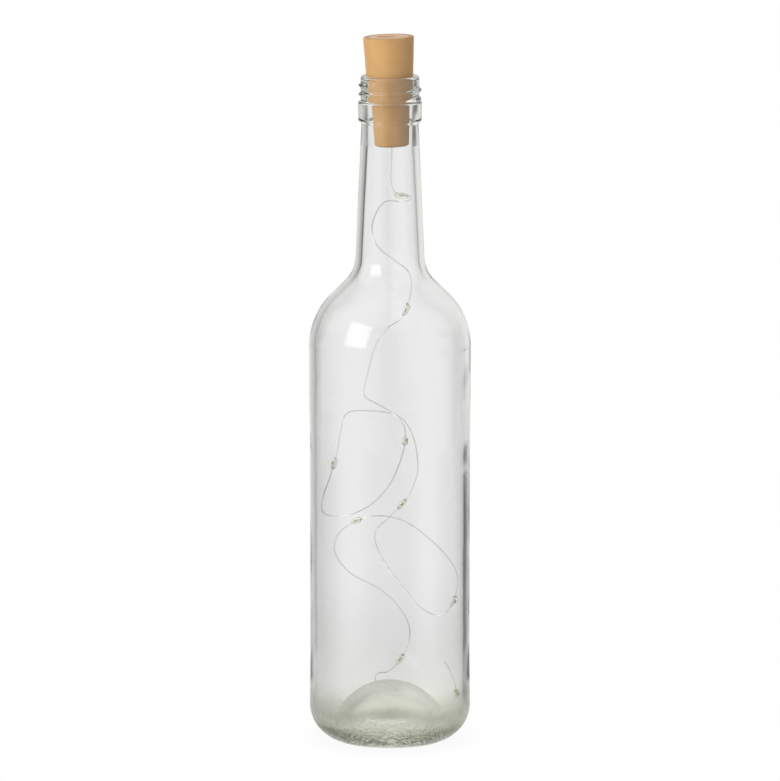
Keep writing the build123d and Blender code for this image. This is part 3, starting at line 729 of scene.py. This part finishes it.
# Switch knob
# Black moulded slider that stands in the lid's dish and is pushed sideways with a nail; grooved on top for
# grip.
KNOB_BLACK = (0.022, 0.022, 0.022)
KNOB_BLACK_DEEP = (0.014, 0.014, 0.014)
knob_plastic = moulded_finish(
    "black_knob_plastic",
    KNOB_BLACK,
    KNOB_BLACK_DEEP,
    roughness=0.45,
    grain_scale=2000.0,
    grain_depth=0.00003,
)
paint("switch_knob", knob_plastic)

# Switch lid
# Tan moulded disc flush with the stopper's top, with a finger dish and a slot for the knob. Two pegs under
# it are pressed into the carrier's head.
# The lid's tan is paler than the shell's: a painted highlight for the light that its top catches from the
# white surround.
LID_PAINTED_HIGHLIGHT_TAN = (0.78, 0.52, 0.315)
LID_PAINTED_HIGHLIGHT_TAN_DEEP = (0.74, 0.49, 0.295)
lid_plastic_painted_highlight = moulded_finish(
    "tan_plastic_painted_highlight",
    LID_PAINTED_HIGHLIGHT_TAN,
    LID_PAINTED_HIGHLIGHT_TAN_DEEP,
    roughness=0.45,
    grain_scale=900.0,
    grain_depth=0.00005,
)
paint("switch_lid", lid_plastic_painted_highlight)

# Light string
# Thin silvery twin wire that leaves the plug's bush and hangs in loose curls, held open by its own stiffness.
# It is one length: low down it runs behind the dome of the base and ends in a short bare tail past the last
# light. Its sizes and points are in metres.
WIRE_DIAMETER = 0.00065
STRING_EXIT = SEAT @ Vector((0, 0, PLUG_FOOT_Z * MM))
STRING_ROUTE = [
    (0.0005, -0.0005, 0.2735), (0.0000, -0.0015, 0.2655), (0.0025, -0.0035, 0.2595),
    (0.0098, -0.0032, 0.2595), (0.0100, 0.0044, 0.2560), (0.0045, 0.0085, 0.2550),
    (-0.0025, 0.0075, 0.2560), (-0.0075, 0.0030, 0.2500), (-0.0088, -0.0035, 0.2425),
    (-0.0055, -0.0065, 0.2350), (0.0020, -0.0065, 0.2295), (0.0090, -0.0025, 0.2235),
    (0.0106, 0.0045, 0.2155), (0.0092, 0.0076, 0.2070), (0.0055, 0.0085, 0.1985),
    (-0.0020, 0.0075, 0.1950), (-0.0065, 0.0080, 0.1875), (-0.0095, 0.0110, 0.1780),
    (-0.0115, 0.0150, 0.1685), (-0.0135, 0.0180, 0.1605), (-0.0060, 0.0170, 0.1570),
    (0.0020, 0.0145, 0.1530), (0.0075, 0.0085, 0.1485), (0.0070, 0.0010, 0.1400),
    (0.0045, -0.0065, 0.1325), (0.0000, -0.0135, 0.1235), (-0.0080, -0.0195, 0.1155),
    (-0.0200, -0.0210, 0.1100), (-0.0303, -0.0130, 0.1090), (-0.0328, -0.0010, 0.1130),
    (-0.0300, 0.0110, 0.1210), (-0.0265, 0.0180, 0.1300), (-0.0245, 0.0220, 0.1430),
    (-0.0225, 0.0240, 0.1525), (-0.0100, 0.0265, 0.1525), (0.0050, 0.0270, 0.1505),
    (0.0110, 0.0255, 0.1425), (0.0135, 0.0255, 0.1305), (0.0135, 0.0265, 0.1195),
    (0.0080, 0.0270, 0.1085), (-0.0015, 0.0260, 0.0995), (-0.0085, 0.0245, 0.0935),
    (-0.0060, 0.0220, 0.0850), (0.0000, 0.0170, 0.0760), (0.0075, 0.0105, 0.0680),
    (0.0145, 0.0050, 0.0600), (0.0250, 0.0015, 0.0565), (0.0310, -0.0010, 0.0660),
    (0.0325, -0.0040, 0.0780), (0.0275, -0.0110, 0.0880), (0.0185, -0.0200, 0.0995),
    (0.0065, -0.0260, 0.1100), (-0.0060, -0.0270, 0.1125), (-0.0175, -0.0235, 0.1085),
    (-0.0255, -0.0160, 0.0995), (-0.0260, -0.0090, 0.0890), (-0.0185, -0.0035, 0.0785),
    (-0.0075, 0.0005, 0.0730), (0.0020, 0.0025, 0.0650), (0.0085, 0.0020, 0.0560),
    (0.0100, 0.0010, 0.0470), (0.0050, -0.0010, 0.0370), (-0.0005, 0.0025, 0.0295),
    (-0.0055, 0.0095, 0.0280), (-0.0080, 0.0175, 0.0235), (-0.0050, 0.0245, 0.0165),
    (0.0040, 0.0280, 0.0105), (0.0150, 0.0260, 0.0095), (0.0245, 0.0180, 0.0095),
    (0.0300, 0.0065, 0.0120), (0.0315, -0.0040, 0.0190), (0.0300, -0.0095, 0.0295),
    (0.0255, -0.0120, 0.0385),
]

string_line = bpy.data.curves.new("light_string", "CURVE")
string_line.dimensions = "3D"
string_spline = string_line.splines.new("NURBS")
string_spline.points.add(len(STRING_ROUTE))
for knot, point in zip(string_spline.points, [STRING_EXIT, *STRING_ROUTE]):
    knot.co = (*point, 1)
string_spline.order_u = 3
string_spline.use_endpoint_u = True
string_line.resolution_u = 10
string_line.use_fill_caps = True
light_string = bpy.data.objects.new("light_string", string_line)
bpy.context.scene.collection.objects.link(light_string)
bpy.context.view_layer.update()
bare_line = bpy.data.meshes.new_from_object(light_string)
string_points = [vertex.co.copy() for vertex in bare_line.vertices]
bpy.data.meshes.remove(bare_line)
string_line.bevel_depth = WIRE_DIAMETER / 2
string_line.bevel_resolution = 3
string_line.materials.append(silver_wire)
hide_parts("light_wire")
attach(light_string, "stopper")

# LED drops
# Nine tiny light chips soldered across the two wires, each sealed in a drop of clear cast resin that has
# run along the wire before it set. The chips' phosphor is pale yellow while the light is off.
LED_COUNT = 9
DROP_HALF_LENGTH = 3.2
DROP_R = 1.5
DROP_TAPER = 2.2
DROP_FULLNESS = 0.62
DROP_COLUMNS = 32
DROP_ROWS = 20
RESIN_TONE = (0.96, 0.96, 0.89)
RESIN_IOR = 1.42
RESIN_CLEARNESS = 0.86
RIPPLE_SCALE = 900.0
RIPPLE_DEPTH = 0.0001
CHIP_SIZE = (0.45, 0.8, 1.6)
CHIP_OFFSET = 0.65
CHIP_EDGE = 0.08
PHOSPHOR_YELLOW = (0.86, 0.8, 0.52)
PHOSPHOR_YELLOW_DEEP = (0.8, 0.73, 0.42)


def resin_finish():
    """Clear cast resin, faintly uneven on its skin."""
    material, nodes, links, resin = new_finish("clear_cast_resin")
    resin.inputs["Base Color"].default_value = (*RESIN_TONE, 1)
    resin.inputs["Roughness"].default_value = 0.08
    resin.inputs["IOR"].default_value = RESIN_IOR
    resin.inputs["Transmission Weight"].default_value = RESIN_CLEARNESS
    ripple = noise(nodes, links, nodes.new("ShaderNodeTexCoord").outputs["Object"], RIPPLE_SCALE)
    links.new(bump(nodes, links, ripple, 0.15, RIPPLE_DEPTH), resin.inputs["Normal"])
    return material


def drop_section():
    """Half section of a resin drop: round in the middle and drawn out along the wire."""
    section = []
    for row in range(DROP_ROWS + 1):
        along = -1 + 2 * row / DROP_ROWS
        radius = DROP_R * max(0.0, 1 - abs(along) ** DROP_TAPER) ** DROP_FULLNESS
        section.append((radius, along * DROP_HALF_LENGTH))
    return section


def led_seat(node):
    """Matrix at the string's point nearest to a light's CAD solid, with Z along the wire."""
    low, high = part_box(node)
    middle = (low + high) / 2
    nearest = min(range(1, len(string_points) - 1), key=lambda i: (string_points[i] - middle).length)
    along = (string_points[nearest + 1] - string_points[nearest - 1]).normalized()
    turn = along.to_track_quat("Z", "Y").to_matrix().to_4x4()
    return Matrix.Translation(string_points[nearest]) @ turn


def chip_block(name):
    """A small light chip with softened edges, beside the wire."""
    form = bmesh.new()
    bmesh.ops.create_cube(form, size=MM)
    bmesh.ops.scale(form, vec=CHIP_SIZE, verts=form.verts)
    bmesh.ops.translate(form, vec=(CHIP_OFFSET * MM, 0, 0), verts=form.verts)
    bmesh.ops.bevel(form, geom=form.edges[:], offset=CHIP_EDGE * MM, segments=2, affect="EDGES")
    return piece_from(name, form)


clear_resin = resin_finish()
pale_phosphor = moulded_finish(
    "pale_yellow_phosphor",
    PHOSPHOR_YELLOW,
    PHOSPHOR_YELLOW_DEEP,
    roughness=0.4,
    grain_scale=3000.0,
    grain_depth=0.00002,
)
string_lights = []
for number in range(1, LED_COUNT + 1):
    seat = led_seat(f"led_bead_{number:02d}")
    drop = lathe(f"led_drop_{number:02d}", drop_section(), DROP_COLUMNS)
    drop.data.transform(seat)
    drop.data.materials.append(clear_resin)
    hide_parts(f"led_bead_{number:02d}")
    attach(drop, "stopper")
    chip = chip_block(f"led_phosphor_{number:02d}")
    chip.data.transform(seat)
    chip.data.materials.append(pale_phosphor)
    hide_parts(f"led_chip_{number:02d}")
    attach(chip, "stopper")
    string_lights += [drop, chip]

# Studio
# A white sweep in an even white surround, as for a catalogue picture of clear glass. The glass mirrors one
# softbox at the upper left of the camera and grey panels round the set, and a second lamp in the softbox's
# place only lights. A faint grey tone on the floor round the base stands for the bottle's shadow.
CAMERA_TARGET = Vector((0, 0, 0.1664))
CAMERA_DISTANCE = 2.65
CAMERA_RISE = math.radians(10)
CAMERA_LENS = 259.94
SOFTBOX_DIRECTION = Vector((-0.723, -0.575, 0.386))
SOFTBOX_DISTANCE = 1.3
SOFTBOX_SIZE = 0.92
SOFTBOX_POWER = 5.4
SOFTBOX_EDGE_FADE = (0.36, 0.5)
KEY_POWER = 8.0
FILL_STRENGTH = 0.55
WHITE = (1, 1, 1, 1)
PANEL_SPAN_DEG = 120
PANEL_COUNT = 360 / PANEL_SPAN_DEG
PANEL_SEAM = (-0.2, -0.165)
HIGH_PANEL = [
    (-60, 0.14),
    (-50, 0.16),
    (-43, 0.4),
    (-30, 0.62),
    (-10, 0.85),
    (30, 0.9),
    (42, 0.8),
    (50, 0.5),
    (60, 0.5),
]
LOW_PANEL = [
    (-60, 0.3),
    (-44, 0.45),
    (-36, 0.5),
    (-20, 0.7),
    (-8, 0.85),
    (10, 0.85),
    (22, 0.5),
    (32, 0.17),
    (45, 0.15),
    (60, 0.3),
]
UNDER_SEAM = (-0.38, -0.2)
UNDER_TONE = 1.0
FLOOR_SIZE = 8.0
FLOOR_Z = -0.0002
PAPER_TONE = (0.85, 0.85, 0.85)
# Painted shadow on the floor: its glow dims to this tone at the base and fades out between these radii in
# metres.
PAINTED_SHADOW_TONE = 0.95
PAINTED_SHADOW_FADE = (0.027, 0.05)

scene = bpy.context.scene
scene.view_settings.view_transform = "Standard"


def aim(thing, location):
    """Puts a camera or a lamp in its place, facing the middle of the bottle."""
    scene.collection.objects.link(thing)
    thing.location = location
    thing.rotation_euler = (CAMERA_TARGET - thing.location).to_track_quat("-Z", "Y").to_euler()


camera_data = bpy.data.cameras.new("photo_camera")
camera_data.sensor_fit = "HORIZONTAL"
camera_data.lens = CAMERA_LENS
camera = bpy.data.objects.new("photo_camera", camera_data)
camera_direction = Vector((0, -math.cos(CAMERA_RISE), math.sin(CAMERA_RISE)))
aim(camera, CAMERA_TARGET + CAMERA_DISTANCE * camera_direction)
scene.camera = camera


def square_lamp(name, power):
    """A square area lamp in the softbox's place."""
    lamp_data = bpy.data.lights.new(name, "AREA")
    lamp_data.shape = "SQUARE"
    lamp_data.size = SOFTBOX_SIZE
    lamp_data.energy = power
    lamp = bpy.data.objects.new(name, lamp_data)
    aim(lamp, CAMERA_TARGET + SOFTBOX_DISTANCE * SOFTBOX_DIRECTION)
    return lamp


softbox = square_lamp("softbox", SOFTBOX_POWER)
softbox.data.use_nodes = True
lamp_nodes = softbox.data.node_tree.nodes
lamp_links = softbox.data.node_tree.links
from_middle = lamp_nodes.new("ShaderNodeVectorMath")
from_middle.operation = "SUBTRACT"
from_middle.inputs[1].default_value = (0.5, 0.5, 0.0)
lamp_links.new(lamp_nodes.new("ShaderNodeNewGeometry").outputs["Parametric"], from_middle.inputs[0])
off_middle = lamp_nodes.new("ShaderNodeVectorMath")
off_middle.operation = "ABSOLUTE"
lamp_links.new(from_middle.outputs["Vector"], off_middle.inputs[0])
sides = lamp_nodes.new("ShaderNodeSeparateXYZ")
lamp_links.new(off_middle.outputs["Vector"], sides.inputs["Vector"])
edge_near = combine(lamp_nodes, lamp_links, "MAXIMUM", sides.outputs["X"], sides.outputs["Y"])
edge_fade = fade(lamp_nodes, lamp_links, edge_near, SOFTBOX_EDGE_FADE, 1.0, 0.0)
lamp_links.new(edge_fade, lamp_nodes["Emission"].inputs["Strength"])

key = square_lamp("key", KEY_POWER)
key.visible_glossy = False


def seen_rays(nodes, links):
    """1 for rays that show the background straight, mirrored or through glass, and 0 for rays that light."""
    path = nodes.new("ShaderNodeLightPath").outputs
    direct = combine(nodes, links, "MAXIMUM", path["Is Camera Ray"], path["Is Glossy Ray"])
    shown = combine(nodes, links, "MAXIMUM", direct, path["Is Transmission Ray"])
    undiffused = combine(nodes, links, "LESS_THAN", path["Diffuse Depth"], 0.5)
    return combine(nodes, links, "MULTIPLY", shown, undiffused)


def mix_shaders(nodes, links, share, first, second):
    """The first shader where the share is 0, and the second where it is 1."""
    mix = nodes.new("ShaderNodeMixShader")
    links.new(share, mix.inputs["Fac"])
    links.new(first, mix.inputs[1])
    links.new(second, mix.inputs[2])
    return mix.outputs["Shader"]


surround = bpy.data.worlds.new("white_surround")
scene.world = surround
surround.use_nodes = True
world_nodes = surround.node_tree.nodes
world_links = surround.node_tree.links
fill_light = world_nodes["Background"]
fill_light.inputs["Color"].default_value = WHITE
fill_light.inputs["Strength"].default_value = FILL_STRENGTH
white_sweep = world_nodes.new("ShaderNodeBackground")
white_sweep.inputs["Color"].default_value = WHITE
white_sweep.inputs["Strength"].default_value = 1.0
grey_panels = world_nodes.new("ShaderNodeBackground")
grey_panels.inputs["Color"].default_value = WHITE
facing = world_nodes.new("ShaderNodeSeparateXYZ")
world_links.new(world_nodes.new("ShaderNodeTexCoord").outputs["Generated"], facing.inputs["Vector"])
bearing = combine(world_nodes, world_links, "ARCTAN2", facing.outputs["X"], facing.outputs["Y"])
panels_round = world_nodes.new("ShaderNodeMath")
panels_round.operation = "MULTIPLY_ADD"
panels_round.inputs[1].default_value = PANEL_COUNT / (2 * math.pi)
panels_round.inputs[2].default_value = 0.5
world_links.new(bearing, panels_round.inputs[0])
across = world_nodes.new("ShaderNodeMath")
across.operation = "FRACT"
world_links.new(panels_round.outputs[0], across.inputs[0])


def panel_ramp(tones):
    """A ramp of grey tones across one panel, from bearings in degrees to either side of its middle."""
    stops = [(0.5 + degrees / PANEL_SPAN_DEG, (tone, tone, tone)) for degrees, tone in tones]
    return tone_ramp(world_nodes, world_links, across.outputs[0], stops)


rise = facing.outputs["Z"]
low_panel = panel_ramp(LOW_PANEL)
high_panel = panel_ramp(HIGH_PANEL)
panel_tone = fade(world_nodes, world_links, rise, PANEL_SEAM, low_panel, high_panel)
under_tone = fade(world_nodes, world_links, rise, UNDER_SEAM, UNDER_TONE, panel_tone)
world_links.new(under_tone, grey_panels.inputs["Strength"])
glossy_depth = world_nodes.new("ShaderNodeLightPath").outputs["Glossy Depth"]
mirrored = combine(world_nodes, world_links, "GREATER_THAN", glossy_depth, 0.5)
white_light = white_sweep.outputs["Background"]
panel_light = grey_panels.outputs["Background"]
seen_world = mix_shaders(world_nodes, world_links, mirrored, white_light, panel_light)
world_seen = seen_rays(world_nodes, world_links)
world_light = mix_shaders(world_nodes, world_links, world_seen, fill_light.outputs["Background"], seen_world)
world_links.new(world_light, world_nodes["World Output"].inputs["Surface"])

floor_form = bmesh.new()
bmesh.ops.create_grid(floor_form, x_segments=1, y_segments=1, size=FLOOR_SIZE / 2)
floor = piece_from("studio_floor", floor_form)
floor.location.z = FLOOR_Z
floor.visible_glossy = False
floor.visible_transmission = False
floor_material, floor_nodes, floor_links, paper = new_finish("white_sweep_paper")
paper.inputs["Base Color"].default_value = (*PAPER_TONE, 1)
paper.inputs["Roughness"].default_value = 0.9
glow = floor_nodes.new("ShaderNodeEmission")
glow.inputs["Color"].default_value = WHITE
from_axis = floor_nodes.new("ShaderNodeVectorMath")
from_axis.operation = "LENGTH"
floor_links.new(floor_nodes.new("ShaderNodeTexCoord").outputs["Object"], from_axis.inputs[0])
# The floor's glow dims round the bottle's foot as a painted shadow.
painted_shadow = fade(floor_nodes, floor_links, from_axis.outputs["Value"], PAINTED_SHADOW_FADE, PAINTED_SHADOW_TONE)
floor_links.new(painted_shadow, glow.inputs["Strength"])
floor_seen = seen_rays(floor_nodes, floor_links)
paper_light = paper.outputs["BSDF"]
floor_light = mix_shaders(floor_nodes, floor_links, floor_seen, paper_light, glow.outputs["Emission"])
floor_links.new(floor_light, floor_nodes["Material Output"].inputs["Surface"])
floor.data.materials.append(floor_material)
